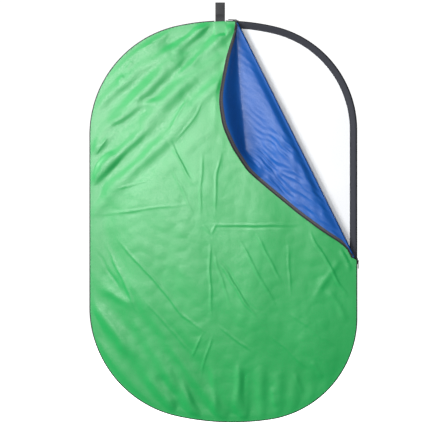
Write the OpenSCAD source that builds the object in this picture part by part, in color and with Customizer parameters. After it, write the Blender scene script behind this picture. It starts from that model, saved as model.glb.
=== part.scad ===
// Collapsible oval reflector with a zipped cover.
// A white diffuser cloth is stretched on a sprung steel hoop. A cover of green
// cloth with a blue lining zips round it. Between two zip sliders the cover's
// front is unzipped, and that corner is folded over, blue side out.
// The disc hangs upright and faces -Y. The origin is the inside of the top of
// the hanging loop, where a hook carries the disc's weight.

/* [Disc] */
// Width of the disc over the zip
disc_w = 1000; // [900:10:1200]
// Height of the disc over the zip
disc_h = 1500; // [1400:10:1800]
// Radius of the top left corner, as a share of the width
corner_tl = 0.417; // [0.38:0.001:0.43]
// Radius of the top right corner, as a share of the width
corner_tr = 0.398; // [0.38:0.001:0.43]
// Radius of the bottom left corner, as a share of the width
corner_bl = 0.417; // [0.38:0.001:0.43]
// Radius of the bottom right corner, as a share of the width
corner_br = 0.383; // [0.37:0.001:0.42]
// Radius of the top edge between its corners, as a share of the width
crown_top = 0.82; // [0.7:0.01:1]
// Radius of the bottom edge between its corners, as a share of the width
crown_bottom = 0.95; // [0.75:0.01:1.1]
// How far the top edge's highest point lies right of centre
crown_top_shift = 5; // [0:1:20]
// How far the bottom edge's lowest point lies right of centre
crown_bottom_shift = 34; // [0:1:40]

/* [Hoop and rim] */
// Width of the spring steel band, across the disc
band_w = 9; // [7:0.5:9]
// Thickness of the spring steel band
band_t = 1; // [0.8:0.1:1.2]
// Width of the black ribbon that holds the band
binding_w = 28; // [22:1:34]
// Thickness of one layer of cloth
cloth_t = 0.3; // [0.2:0.05:0.4]
// Length of the sleeve that joins the band's ends
splice_l = 44; // [36:2:60]

/* [Folded corner] */
// Where the fold meets the top edge, right of centre
fold_top_x = 52; // [45:1:70]
// Where the fold meets the right edge, above the disc's middle
fold_side_z = -140; // [-160:5:-100]
// Radius of the roll that the cloth makes where it folds
roll_r = 5; // [4:0.5:6]
// How far the cloth bulges past the roll, halfway along the fold
crest_rise = 9; // [6:1:12]
// How far the loose zip edge springs up in the fold's upper half
edge_lift = 34; // [20:2:40]

/* [Zip] */
// Width of a zip tape's part that is sewn on
tape_sewn_w = 9; // [7:1:12]
// Length of a slider
slider_l = 22; // [18:1:24]
// Length of a pull from its pivot
pull_l = 28; // [22:1:32]

/* [Hanging loop] */
// Width of the webbing
strap_w = 36; // [25:1:40]
// Thickness of the webbing
strap_t = 1.4; // [1:0.1:1.5]
// Height of the loop's inside above the disc's edge
strap_rise = 66; // [60:1:90]
// Width of the loop's gap
strap_gap = 9; // [7:0.5:12]
// How far the loop stands left of the disc's middle
strap_shift = 12; // [0:1:15]

/* [Hidden] */

black = [0.13, 0.13, 0.15];
slate = [0.25, 0.26, 0.3];
green = [0.25, 0.75, 0.42];
blue = [0.12, 0.32, 0.75];
white = [0.97, 0.97, 0.98];
steel = [0.6, 0.62, 0.65];

half_w = disc_w / 2;
half_h = disc_h / 2;

// Distances from the zip's outer edge, negative towards the disc's middle.
coil_t = 2.2;
tape_t = 0.5;
tape_r0 = -(coil_t + tape_t) / 2;
tape_r1 = tape_r0 + tape_t;
ribbon_t = 0.5;
ribbon_r = -3.8;
band_r = ribbon_r - ribbon_t - 0.6;

// Distances from the disc's middle plane, along Y.
band_y = band_w / 2;
ribbon_y = 5.6;
lining_y = 7;
panel_y = lining_y + cloth_t;
face_y = panel_y + cloth_t;
coil_y0 = 0.4;
coil_y1 = 3.15;

// ---- The rim's outline, as arcs and lines laid end to end ----

function corner_z(r, crown, shift) =
    half_h - crown + sqrt(pow(crown - r, 2) - pow(half_w - r - shift, 2));

r_tl = corner_tl * disc_w;
r_tr = corner_tr * disc_w;
r_bl = corner_bl * disc_w;
r_br = corner_br * disc_w;
c_top = crown_top * disc_w;
c_bot = crown_bottom * disc_w;
z_tr = corner_z(r_tr, c_top, crown_top_shift);
z_tl = corner_z(r_tl, c_top, -crown_top_shift);
z_br = corner_z(r_br, c_bot, crown_bottom_shift);
z_bl = corner_z(r_bl, c_bot, -crown_bottom_shift);
top_c = [crown_top_shift, half_h - c_top];
bot_c = [crown_bottom_shift, c_bot - half_h];

function turn(from, to) = atan2(to[1] - from[1], to[0] - from[0]);

a_tr = turn(top_c, [half_w - r_tr, z_tr]);
a_tl = turn(top_c, [r_tl - half_w, z_tl]);
a_bl = turn(bot_c, [r_bl - half_w, -z_bl]) + 360;
a_br = turn(bot_c, [half_w - r_br, -z_br]) + 360;

// Each stretch: centre, radius, first and last angle. A radius of 0 is a line
// that starts at the centre given, and its last two numbers are its direction
// angle and its length.
stretches = [
    [[half_w, -z_br], 0, 90, z_br + z_tr],
    [[half_w - r_tr, z_tr], r_tr, 0, a_tr],
    [top_c, c_top, a_tr, a_tl],
    [[r_tl - half_w, z_tl], r_tl, a_tl, 180],
    [[-half_w, z_tl], 0, 270, z_tl + z_bl],
    [[r_bl - half_w, -z_bl], r_bl, 180, a_bl],
    [bot_c, c_bot, a_bl, a_br],
    [[half_w - r_br, -z_br], r_br, a_br, 360]
];
steps = [1, 16, 16, 16, 1, 16, 16, 16];

function stretch_len(g) = g[1] == 0 ? g[3] : g[1] * (g[3] - g[2]) * PI / 180;
function total(list, n) = n == 0 ? 0 : list[n - 1] + total(list, n - 1);
lengths = [for (g = stretches) stretch_len(g)];
starts = [for (i = [0:8]) total(lengths, i)];
perimeter = starts[8];

// A point on the rim at distance s from the foot of the right side, going up
// and round to the left: [x, z, angle of the outward normal].
function wrap(s) = s - perimeter * floor(s / perimeter);
function on_stretch(g, t) =
    g[1] == 0
        ? [g[0][0] + t * cos(g[2]), g[0][1] + t * sin(g[2]), g[2] - 90]
        : let (a = g[2] + t / g[1] * 180 / PI)
          [g[0][0] + g[1] * cos(a), g[0][1] + g[1] * sin(a), a];
function rim_at(s) =
    let (w = wrap(s), k = max([for (i = [0:7]) if (w >= starts[i]) i]))
    on_stretch(stretches[k], w - starts[k]);

joints_round = [
    for (k = [0:7]) for (i = [0:steps[k] - 1]) starts[k] + lengths[k] * i / steps[k]
];
function stations(s0, s1) = concat(
    [s0],
    [for (turn_no = [0:1]) for (s = joints_round)
        let (t = s + turn_no * perimeter)
        if (t > s0 + 1 && t < s1 - 1) t],
    [s1]
);

// A point at distance r outside the rim, at depth y.
function beside(s, r, y) = let (g = rim_at(s)) [g[0] + r * cos(g[2]), y, g[1] + r * sin(g[2])];

// ---- Landmarks along the rim ----

fold_top_s = starts[2] + c_top * (acos((fold_top_x - top_c[0]) / c_top) - a_tr) * PI / 180;
fold_side_s = fold_side_z + z_br;
strap_s = starts[2] + c_top * (acos((-strap_shift - top_c[0]) / c_top) - a_tr) * PI / 180;
strap_slot = strap_w / 2 + 3;
slot_s0 = strap_s - strap_slot;
slot_s1 = strap_s + strap_slot;
stop_l = 3;
top_slider_s = fold_top_s + 6;
side_slider_s = fold_side_s - 8;
splice_s = starts[6] + lengths[6] / 2;

// ---- Solids that follow the rim ----

// Joins rings of points into one closed solid. Each ring is a strip: its first
// half runs out along one side and its second half runs back along the other.
// Both sides are cut into triangles along the same lines, so a thin strip
// keeps its thickness where it twists.
module skin(rings, loop = false) {
    n = len(rings);
    m = len(rings[0]);
    flat = [for (ring = rings) for (p = ring) p];
    sides = [
        for (i = [0:n - (loop ? 1 : 2)]) for (j = [0:m - 1])
            let (a = i * m + j, b = i * m + (j + 1) % m,
                 c = ((i + 1) % n) * m + (j + 1) % m, d = ((i + 1) % n) * m + j)
            each j < m / 2 ? [[a, b, c], [a, c, d]] : [[a, b, d], [b, c, d]]
    ];
    e = (n - 1) * m;
    caps = loop ? [] : [
        for (j = [0:m / 2 - 2])
            each [[m - 1 - j, m - 2 - j, j + 1, j], [e + j, e + j + 1, e + m - 2 - j, e + m - 1 - j]]
    ];
    polyhedron(flat, concat(sides, caps));
}

// profile: points [distance outside the rim, y]
module rim_sweep(profile, s0, s1) {
    skin([for (s = stations(s0, s1)) [for (q = profile) beside(s, q[0], q[1])]]);
}

module rim_loop(profile) {
    skin([for (s = joints_round) [for (q = profile) beside(s, q[0], q[1])]], loop = true);
}

function outline(r, s0, s1) = [for (s = stations(s0, s1)) let (p = beside(s, r, 0)) [p[0], p[2]]];

// A sheet of cloth in the disc's plane between two depths.
module sheet(points, y0, y1) {
    rotate([90, 0, 0])
        translate([0, 0, -y1])
            linear_extrude(y1 - y0) polygon(points);
}

// Turns a profile over to the other face of the disc, and keeps its winding.
function other_face(profile) =
    [for (i = [len(profile) - 1:-1:0]) [profile[i][0], -profile[i][1]]];

// ---- The folded corner, in coordinates along and across the fold ----

fold_a = beside(fold_top_s, tape_r1, 0);
fold_b = beside(fold_side_s, tape_r1, 0);
fold_len = norm(fold_b - fold_a);
along = (fold_b - fold_a) / fold_len;
across = [-along[2], 0, along[0]];

// A point p along the fold, u past it towards the open corner, h in front of
// the front panel's face.
function fold_point(p, u, h) = fold_a + p * along + u * across + [0, -face_y - h, 0];

function swell(p) = sin(180 * p / fold_len);

// Distance from the fold to the panel's edge at p, when the corner lies flat.
edge_steps = [for (s = stations(fold_side_s, fold_top_s)) beside(s, tape_r1, 0)];
edge_pu = [for (e = edge_steps) [(e - fold_a) * along, (e - fold_a) * across]];
function edge_at(p) = lookup(p, edge_pu);

function smooth(t) = let (x = min(1, max(0, t))) x * x * (3 - 2 * x);

crest_at = 30;
settle_over = 110;
rest_h = 3;
valley_slope = 0.41;
lift_reach = 560;

function free_cloth(p) = edge_at(p) - (PI - 1) * roll_r;

// Height of the loose corner's green side in front of the panel, at cloth
// distance t past the top of the roll. It bulges next to the roll, then sinks
// on to the panel, and its zip edge springs up again past a slanted valley.
function bulge_at(p, t) = swell(p) * crest_rise * pow(sin(min(90, 90 * t / crest_at)), 2);
function sink_at(p, t) =
    swell(p) * (2 * roll_r + crest_rise - rest_h) * smooth((t - crest_at) / settle_over);
function lift_at(p, t) =
    let (span = free_cloth(p),
         valley = min(valley_slope * p, 0.8 * span),
         x = min(1, max(0, (t - valley) / (span - valley))))
    edge_lift * sin(min(180, 180 * p / lift_reach)) * x * x;
function height_at(p, t) = 2 * roll_r + bulge_at(p, t) - sink_at(p, t) + lift_at(p, t);

// The loose corner's section at p: points [u, h] at the cloth distances given.
function section(p, ts) =
    let (hs = [for (t = ts) height_at(p, t)])
    [for (i = 0, u = -roll_r;
          i < len(ts);
          i = i + 1,
          u = i < len(ts)
              ? u - sqrt(max(0, pow(ts[i] - ts[i - 1], 2) - pow(hs[i] - hs[i - 1], 2)))
              : u)
        [u, hs[i]]];

fold_clear = 0.1;
end_gap_a = 16;
end_gap_b = 26;
fold_steps = 24;
across_steps = 9;
roll_steps = 10;
fold_ps = [
    for (i = [0:fold_steps])
        end_gap_a + (fold_len - end_gap_a - end_gap_b) * (1 - cos(180 * i / fold_steps)) / 2
];

function spaced(t0, t1, n) = [for (i = [0:n]) t0 + (t1 - t0) * i / n];

coil_w = coil_y1 - coil_y0;
tape_bare_w = lining_y - coil_y1;

// Cloth distances past the roll at which every layer is cut, so that the
// layers lie on each other: the roll, the start of the cloth, the start of the
// seam, its middle, the cloth's edge, the tape's edge and the coil's edge.
function seam_w(p) = min(tape_sewn_w, free_cloth(p) / 2);
function cuts(p) =
    let (free = free_cloth(p), seam = seam_w(p))
    concat([0], spaced(fold_clear, free - seam, across_steps - 2),
           [free - seam / 2, free, free + tape_bare_w, free + tape_bare_w + coil_w]);
cloth_cut = 1;
seam_cut = across_steps - 1;
cloth_end_cut = seam_cut + 2;
tape_end_cut = seam_cut + 3;
coil_end_cut = seam_cut + 4;

// A layer of the loose corner between two cuts, base above its green side.
module corner_layer(first, last, base, thick) {
    skin([
        for (p = fold_ps)
            let (whole = section(p, cuts(p)),
                 line = [for (i = [first:last]) whole[i]])
            concat(
                [for (q = line) fold_point(p, q[0], q[1] + base)],
                [for (i = [len(line) - 1:-1:0])
                    fold_point(p, line[i][0], line[i][1] + base + thick)]
            )
    ]);
}

// A point of the roll, turned by an angle from the panel and out by some depth.
function roll_point(p, turned, out) =
    fold_point(p, (roll_r + out) * sin(turned) - roll_r, roll_r - (roll_r + out) * cos(turned));

// A layer of the roll, which bends half a turn from the panel to the corner.
module roll_layer(base, thick) {
    skin([
        for (p = fold_ps)
            concat(
                [for (i = [0:roll_steps]) roll_point(p, 180 * i / roll_steps, base + thick)],
                [for (i = [roll_steps:-1:0]) roll_point(p, 180 * i / roll_steps, base)]
            )
    ]);
}

// The front panel's outline: round the rim the long way, then back along the
// foot of the roll.
function front_outline() = concat(
    outline(tape_r1, fold_top_s, fold_side_s + perimeter),
    [for (i = [fold_steps:-1:0])
        let (p = fold_ps[i], q = fold_point(p, -roll_r - fold_clear, 0)) [q[0], q[2]]]
);

// ---- Hoop and diffuser ----

module band_profile_holes() {
    for (d = [-12, 12])
        let (g = rim_at(splice_s + d))
            translate([g[0], 0, g[1]])
                rotate([0, 90 - g[2], 0])
                    translate([0, 0, band_r - band_t - 4])
                        cylinder(h = band_t + 8, r = 1.5, $fn = 32);
}

module steel_hoop() {
    color(steel)
        difference() {
            rim_loop([
                [band_r - band_t, -band_y], [band_r, -band_y],
                [band_r, band_y], [band_r - band_t, band_y]
            ]);
            band_profile_holes();
        }
}

splice_t = 0.4;
splice_gap = 0.05;

module hoop_splice() {
    r0 = band_r - band_t - splice_gap;
    r1 = band_r + splice_gap;
    y1 = band_y + splice_gap;
    lip = 2.5;
    color(steel)
        difference() {
            rim_sweep([
                [r0 - splice_t, lip - y1], [r0 - splice_t, -y1 - splice_t],
                [r1 + splice_t, -y1 - splice_t], [r1 + splice_t, y1 + splice_t],
                [r0 - splice_t, y1 + splice_t], [r0 - splice_t, y1 - lip],
                [r0, y1 - lip], [r0, y1], [r1, y1], [r1, -y1], [r0, -y1], [r0, lip - y1]
            ], splice_s - splice_l / 2, splice_s + splice_l / 2);
            band_profile_holes();
        }
}

module splice_rivets() {
    color(steel)
        for (d = [-12, 12])
            let (g = rim_at(splice_s + d))
                translate([g[0], 0, g[1]])
                    rotate([0, 90 - g[2], 0])
                        translate([0, 0, band_r - band_t])
                            cylinder(h = band_t + splice_gap + splice_t, r = 1.45, $fn = 32);
}

module diffuser_cloth() {
    color(white)
        sheet(outline(ribbon_r - ribbon_t - 4, 0, perimeter - 2), -cloth_t / 2, cloth_t / 2);
}

module rim_binding() {
    inner_r = ribbon_r - binding_w;
    sewn_y = cloth_t / 2 + 0.1;
    shoulder = ribbon_r - 4;
    out_y = ribbon_y;
    in_y = ribbon_y - ribbon_t;
    color(slate)
        rim_loop([
            [inner_r, -sewn_y - ribbon_t], [shoulder, -out_y], [ribbon_r, -out_y],
            [ribbon_r, out_y], [shoulder, out_y], [inner_r, sewn_y + ribbon_t],
            [inner_r, sewn_y], [shoulder, in_y], [ribbon_r - ribbon_t, in_y],
            [ribbon_r - ribbon_t, -in_y], [shoulder, -in_y], [inner_r, -sewn_y]
        ]);
}

// ---- Cover ----

module front_panel() {
    color(green) sheet(front_outline(), -face_y, -panel_y);
}

module front_lining() {
    color(blue) sheet(front_outline(), -panel_y, -lining_y);
}

module back_panel() {
    color(green) sheet(outline(tape_r1, 0, perimeter - 2), panel_y, face_y);
}

module back_lining() {
    color(blue) sheet(outline(tape_r1, 0, perimeter - 2), lining_y, panel_y);
}

// ---- Zip ----

// The back half's tape, sewn under the panel's edge and turned down to its
// coil. The front half is the same on the other face.
tape_profile = [
    [tape_r1 - tape_sewn_w, lining_y - tape_t], [tape_r0, lining_y - tape_t],
    [tape_r0, coil_y1], [tape_r1, coil_y1], [tape_r1, lining_y],
    [tape_r1 - tape_sewn_w, lining_y]
];
coil_profile = [[-coil_t, coil_y0], [0, coil_y0], [0, coil_y1], [-coil_t, coil_y1]];

zip_s0 = slot_s1 + stop_l + 0.1;
zip_s1 = slot_s0 - stop_l - 0.1;
closed_parts = [[fold_top_s + 1, zip_s1], [zip_s0, fold_side_s + perimeter - 1]];

module zip_tape_front() {
    color(black)
        for (part = closed_parts)
            rim_sweep(other_face(tape_profile), part[0], part[1]);
}

module zip_tape_back() {
    color(black) rim_sweep(tape_profile, zip_s0, zip_s1 + perimeter);
}

module zip_coil_front() {
    color(black)
        for (part = closed_parts)
            rim_sweep(other_face(coil_profile), part[0], part[1]);
}

module zip_coil_back() {
    color(black) rim_sweep(coil_profile, zip_s0, zip_s1 + perimeter);
}

module zip_stops() {
    color(black)
        for (s = [slot_s0 - stop_l / 2, slot_s1 + stop_l / 2])
            let (g = rim_at(s))
                translate([g[0], 0, g[1]])
                    rotate([0, 90 - g[2], 0])
                        translate([-stop_l / 2, -3.6, -coil_t - 0.2])
                            cube([stop_l, 7.2, coil_t + 0.4]);
}

// ---- Folded corner ----

module panel_fold() {
    color(green) roll_layer(0, cloth_t);
}

module lining_fold() {
    color(blue) roll_layer(cloth_t, cloth_t);
}

module flap_panel() {
    color(green) corner_layer(cloth_cut, cloth_end_cut, 0, cloth_t);
}

module flap_lining() {
    color(blue) corner_layer(cloth_cut, cloth_end_cut, cloth_t, cloth_t);
}

module flap_zip_tape() {
    color(slate) corner_layer(seam_cut, tape_end_cut, 2 * cloth_t, tape_t);
}

module flap_zip_coil() {
    color(black)
        corner_layer(tape_end_cut, coil_end_cut, 2 * cloth_t - (coil_t - tape_t) / 2, coil_t);
}

// ---- Sliders and pulls, with the nose towards +X and the outside up ----

chain_clear = 0.3;
plate_z0 = coil_t / 2 + chain_clear;
outer_plate_t = 1.2;
inner_plate_t = 1;
outer_z = plate_z0 + outer_plate_t;
pivot_z = outer_z + 1.6;
nose_w = 11;
tail_w = 9.6;

module at_rim(s) {
    g = rim_at(s);
    translate([g[0] - coil_t / 2 * cos(g[2]), 0, g[1] - coil_t / 2 * sin(g[2])])
        rotate([0, 90 - g[2], 0])
            children();
}

module slider_plan() {
    x = slider_l / 2;
    n = nose_w / 2;
    t = tail_w / 2;
    polygon([
        [x, n - 3], [x - 1, n - 1], [x - 3, n], [x - 7, n], [2 - x, t], [-x, t - 2],
        [-x, 2 - t], [2 - x, -t], [x - 7, -n], [x - 3, -n], [x - 1, 1 - n], [x, 3 - n]
    ]);
}

module slider_body() {
    flange_t = 0.8;
    tape_slot = 0.6;
    flange_x0 = 3 - slider_l / 2;
    color(black) {
        translate([0, 0, plate_z0]) linear_extrude(outer_plate_t) slider_plan();
        translate([0, 0, -plate_z0 - inner_plate_t]) linear_extrude(inner_plate_t) slider_plan();
        for (side = [-1, 1]) for (up = [-1, 1])
            translate([flange_x0, side > 0 ? coil_y1 + 0.35 : -coil_y1 - 0.35 - flange_t,
                       up > 0 ? tape_slot : -plate_z0 - 0.01])
                cube([6, flange_t, plate_z0 - tape_slot + 0.01]);
        translate([slider_l / 2 - 8, -0.25, -plate_z0 - 0.01])
            cube([6, 0.5, 2 * plate_z0 + 0.02]);
    }
}

bridge_l = 9;
bridge_w = 3;
bridge_h = 3.7;
bridge_gap = 3.4;

module slider_bridge() {
    color(slate)
        translate([0, 0, outer_z])
            rotate([90, 0, 0])
                linear_extrude(bridge_w, center = true)
                    difference() {
                        polygon([
                            [-bridge_l / 2, 0], [bridge_l / 2, 0], [bridge_l / 2, 1.6],
                            [bridge_l / 2 - 1.6, bridge_h], [1.6 - bridge_l / 2, bridge_h],
                            [-bridge_l / 2, 1.6]
                        ]);
                        translate([-bridge_gap / 2, -1]) square([bridge_gap, bridge_h - 0.1]);
                    }
}

pull_w = 8;
pull_t = 2.4;
pull_bar_r = 0.9;
arm_w = 1.2;

module slider_pull() {
    arm_y = bridge_w / 2 + 0.3;
    tab_x = 5.8;
    color(black)
        translate([0, 0, pivot_z]) {
            rotate([90, 0, 0])
                cylinder(h = 2 * (arm_y + arm_w), r = pull_bar_r, center = true, $fn = 32);
            for (side = [-1, 1])
                translate([-tab_x - 0.5, side > 0 ? arm_y : -arm_y - arm_w, -pull_t / 2])
                    cube([tab_x + 0.5, arm_w, pull_t]);
            difference() {
                union() {
                    translate([pull_w / 2 - pull_l, -pull_w / 2, -pull_t / 2])
                        cube([pull_l - tab_x - pull_w / 2, pull_w, pull_t]);
                    translate([pull_w / 2 - pull_l, 0, 0])
                        cylinder(h = pull_t, r = pull_w / 2, center = true, $fn = 48);
                }
                translate([pull_w / 2 - pull_l, 0, 0])
                    cylinder(h = pull_t + 1, r = 1.6, center = true, $fn = 32);
            }
        }
}

module top_slider() { at_rim(top_slider_s) slider_body(); }
module top_slider_bridge() { at_rim(top_slider_s) slider_bridge(); }
module top_pull() { at_rim(top_slider_s) slider_pull(); }
module side_slider() { at_rim(side_slider_s) rotate([0, 0, 180]) slider_body(); }
module side_slider_bridge() { at_rim(side_slider_s) rotate([0, 0, 180]) slider_bridge(); }
module side_pull() { at_rim(side_slider_s) rotate([0, 0, 180]) slider_pull(); }

// ---- Hanging loop, drawn in the row's own frame ----

edge_z = -strap_rise;
hinge_z = edge_z + 5;
bend_r = strap_gap / 2;
anchor_l = 40;

function arc(cy, cz, r, a0, a1, n) =
    [for (i = [0:n]) let (a = a0 + (a1 - a0) * i / n) [cy + r * cos(a), cz + r * sin(a)]];

module across_strap(w) {
    rotate([90, 0, 90]) linear_extrude(w, center = true) children();
}

module webbing_loop() {
    spread_z = hinge_z + 17;
    meet_z = hinge_z + 9;
    out_r = bend_r + strap_t;
    color(black)
        across_strap(strap_w)
            difference() {
                polygon(concat(
                    arc(0, -bend_r, out_r, 0, 180, 24),
                    [[-out_r, spread_z], [-strap_t, meet_z]],
                    arc(0, hinge_z, strap_t, 180, 360, 16),
                    [[strap_t, meet_z], [out_r, spread_z]]
                ));
                polygon(concat(
                    arc(0, -bend_r, bend_r, 0, 180, 24),
                    [[-bend_r, spread_z], [0, meet_z + 1.5], [bend_r, spread_z]]
                ));
            }
}

module strap_anchor() {
    web_z = edge_z - 3.4;
    leg_t = 1.2;
    leg_y = ribbon_y + 0.1;
    color(black)
        across_strap(strap_w)
            difference() {
                union() {
                    translate([-leg_y - leg_t, edge_z - anchor_l])
                        square([2 * (leg_y + leg_t), anchor_l - 3.4 + leg_t]);
                    translate([-strap_t, web_z])
                        square([2 * strap_t, hinge_z - strap_t - 0.25 - web_z]);
                }
                translate([-leg_y, edge_z - anchor_l - 1])
                    square([2 * leg_y, anchor_l - 3.4 + 1]);
            }
}

// ---- Placing ----

module on_disc() {
    translate([strap_shift, 0, -strap_rise - half_h]) children();
}

on_disc() steel_hoop();
on_disc() hoop_splice();
on_disc() splice_rivets();
on_disc() diffuser_cloth();
on_disc() rim_binding();
strap_anchor();
webbing_loop();
on_disc() front_panel();
on_disc() front_lining();
on_disc() back_panel();
on_disc() back_lining();
on_disc() zip_tape_front();
on_disc() zip_tape_back();
on_disc() zip_coil_front();
on_disc() zip_coil_back();
on_disc() zip_stops();
on_disc() panel_fold();
on_disc() lining_fold();
on_disc() flap_panel();
on_disc() flap_lining();
on_disc() flap_zip_tape();
on_disc() flap_zip_coil();
on_disc() top_slider();
on_disc() top_slider_bridge();
on_disc() top_pull();
on_disc() side_slider();
on_disc() side_slider_bridge();
on_disc() side_pull();
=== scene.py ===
"""Looks for an oval collapsible reflector disc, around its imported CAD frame.

Lengths below are millimetres, measured from the disc's middle: X to the
right, Y away from the viewer and Z up. They turn to metres in the row frame
only when a mesh is made.
"""

import math

import bpy
import numpy as np
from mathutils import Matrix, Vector
from mathutils.geometry import delaunay_2d_cdt
from mathutils.kdtree import KDTree


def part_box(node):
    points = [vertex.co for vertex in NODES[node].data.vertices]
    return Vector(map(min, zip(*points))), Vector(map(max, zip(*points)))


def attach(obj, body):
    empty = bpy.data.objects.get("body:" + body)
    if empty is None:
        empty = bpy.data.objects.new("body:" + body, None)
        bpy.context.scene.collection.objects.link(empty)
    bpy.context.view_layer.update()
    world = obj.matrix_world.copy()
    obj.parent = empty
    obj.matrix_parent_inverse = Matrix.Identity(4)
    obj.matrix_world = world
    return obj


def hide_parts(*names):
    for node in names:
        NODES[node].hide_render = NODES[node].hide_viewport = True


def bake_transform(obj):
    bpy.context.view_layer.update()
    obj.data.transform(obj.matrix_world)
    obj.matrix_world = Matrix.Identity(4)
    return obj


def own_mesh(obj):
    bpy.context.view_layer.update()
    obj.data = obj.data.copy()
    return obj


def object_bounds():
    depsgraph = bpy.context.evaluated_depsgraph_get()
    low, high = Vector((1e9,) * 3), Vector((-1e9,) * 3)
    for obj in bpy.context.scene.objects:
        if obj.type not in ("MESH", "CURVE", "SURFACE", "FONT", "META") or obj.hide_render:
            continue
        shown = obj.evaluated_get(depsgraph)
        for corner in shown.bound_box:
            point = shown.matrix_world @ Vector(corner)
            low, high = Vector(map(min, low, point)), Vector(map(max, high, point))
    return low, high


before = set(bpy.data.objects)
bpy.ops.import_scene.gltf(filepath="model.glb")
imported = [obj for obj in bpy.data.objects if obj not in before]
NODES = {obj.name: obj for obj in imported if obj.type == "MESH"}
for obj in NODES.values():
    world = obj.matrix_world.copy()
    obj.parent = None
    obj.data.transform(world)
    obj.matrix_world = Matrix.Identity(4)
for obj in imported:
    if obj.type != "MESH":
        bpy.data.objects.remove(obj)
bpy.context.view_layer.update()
SCENE = bpy.context.scene

# ---------------------------------------------------------------- frame facts

RIBBON_R = -3.8          # outer face of the rim ribbon, from the zip's edge
ribbon_lo, ribbon_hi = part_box("rim_binding")
HALF_W = (ribbon_hi.x - ribbon_lo.x) * 500 - RIBBON_R
HALF_H = (ribbon_hi.z - ribbon_lo.z) * 500 - RIBBON_R
ORIGIN = np.array([(ribbon_lo.x + ribbon_hi.x) / 2, 0.0, (ribbon_lo.z + ribbon_hi.z) / 2])

CLOTH_T = 0.3
CLOTH_R = -0.85          # zip tape's outer face, and where the fold is measured from
HEM_R = -4.4             # hem of either cover panel
LINING_Y = 7.0           # inner face of either cover lining
FACE_Y = 7.6             # outer face of either cover panel
COIL_Y0, COIL_Y1 = 0.4, 3.15
COIL_T = 2.2
TAPE_T = 0.5
TAPE_W = 9.0
TAPE_BARE = LINING_Y - COIL_Y1
COIL_W = COIL_Y1 - COIL_Y0

# ---------------------------------------------------------------- rim outline


def crown_meets(r, crown, shift):
    return HALF_H - crown + math.sqrt((crown - r) ** 2 - (HALF_W - r - shift) ** 2)


R_TL, R_TR, R_BL, R_BR = 417.0, 398.0, 417.0, 383.0
CROWN_TOP, CROWN_BOT = 820.0, 950.0
SHIFT_TOP, SHIFT_BOT = 5.0, 34.0
Z_TR = crown_meets(R_TR, CROWN_TOP, SHIFT_TOP)
Z_TL = crown_meets(R_TL, CROWN_TOP, -SHIFT_TOP)
Z_BR = crown_meets(R_BR, CROWN_BOT, SHIFT_BOT)
Z_BL = crown_meets(R_BL, CROWN_BOT, -SHIFT_BOT)
TOP_C = (SHIFT_TOP, HALF_H - CROWN_TOP)
BOT_C = (SHIFT_BOT, CROWN_BOT - HALF_H)


def turn(a, b):
    return math.atan2(b[1] - a[1], b[0] - a[0])


A_TR = turn(TOP_C, (HALF_W - R_TR, Z_TR))
A_TL = turn(TOP_C, (R_TL - HALF_W, Z_TL))
A_BL = turn(BOT_C, (R_BL - HALF_W, -Z_BL)) + 2 * math.pi
A_BR = turn(BOT_C, (HALF_W - R_BR, -Z_BR)) + 2 * math.pi

# centre (or foot), radius (0 for a line), first angle, last angle (or length)
STRETCHES = [
    ((HALF_W, -Z_BR), 0, math.pi / 2, Z_BR + Z_TR),
    ((HALF_W - R_TR, Z_TR), R_TR, 0, A_TR),
    (TOP_C, CROWN_TOP, A_TR, A_TL),
    ((R_TL - HALF_W, Z_TL), R_TL, A_TL, math.pi),
    ((-HALF_W, Z_TL), 0, 1.5 * math.pi, Z_TL + Z_BL),
    ((R_BL - HALF_W, -Z_BL), R_BL, math.pi, A_BL),
    (BOT_C, CROWN_BOT, A_BL, A_BR),
    ((HALF_W - R_BR, -Z_BR), R_BR, A_BR, 2 * math.pi),
]
STARTS = np.concatenate([[0.0], np.cumsum([
    last if r == 0 else r * (last - first) for _, r, first, last in STRETCHES])])
PERIMETER = STARTS[-1]


def rim_at(s):
    """Points [x, z, outward angle] at distances s round the rim."""
    s = np.mod(np.asarray(s, float), PERIMETER)
    out = np.zeros(s.shape + (3,))
    k = np.clip(np.searchsorted(STARTS, s, side="right") - 1, 0, 7)
    for i, (c, r, first, _) in enumerate(STRETCHES):
        m = k == i
        t = s[m] - STARTS[i]
        if r == 0:
            out[m] = np.stack([c[0] + t * math.cos(first), c[1] + t * math.sin(first),
                               np.full(t.shape, first - math.pi / 2)], -1)
        else:
            a = first + t / r
            out[m] = np.stack([c[0] + r * np.cos(a), c[1] + r * np.sin(a), a], -1)
    return out


def beside(s, r, y):
    """Points at distance r outside the rim, at depth y; s, r and y broadcast."""
    s, r, y = np.broadcast_arrays(np.asarray(s, float), r, y)
    g = rim_at(s)
    return np.stack([g[..., 0] + r * np.cos(g[..., 2]), y,
                     g[..., 1] + r * np.sin(g[..., 2])], -1)


def crown_s(x):
    return STARTS[2] + CROWN_TOP * (math.acos((x - SHIFT_TOP) / CROWN_TOP) - A_TR)


FOLD_TOP_S = crown_s(52)
FOLD_SIDE_S = -140 + Z_BR
STRAP_S = crown_s(-12)
SLOT = 21.0
STOP_L = 3.1
ZIP_S0 = STRAP_S + SLOT + STOP_L
ZIP_S1 = STRAP_S - SLOT - STOP_L

# ---------------------------------------------------------------- folded corner

ROLL_R = 5.0
FOLD_A = beside(FOLD_TOP_S, CLOTH_R, 0.0)
FOLD_B = beside(FOLD_SIDE_S, CLOTH_R, 0.0)
FOLD_LEN = float(np.linalg.norm(FOLD_B - FOLD_A))
ALONG = (FOLD_B - FOLD_A) / FOLD_LEN
ACROSS = np.array([-ALONG[2], 0.0, ALONG[0]])
END_A, END_B = 7.0, 13.0
CREST_RISE, CREST_AT, SETTLE, REST_H = 9.0, 30.0, 110.0, 3.0
EDGE_LIFT, VALLEY, LIFT_REACH = 44.0, 0.41, 560.0

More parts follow.
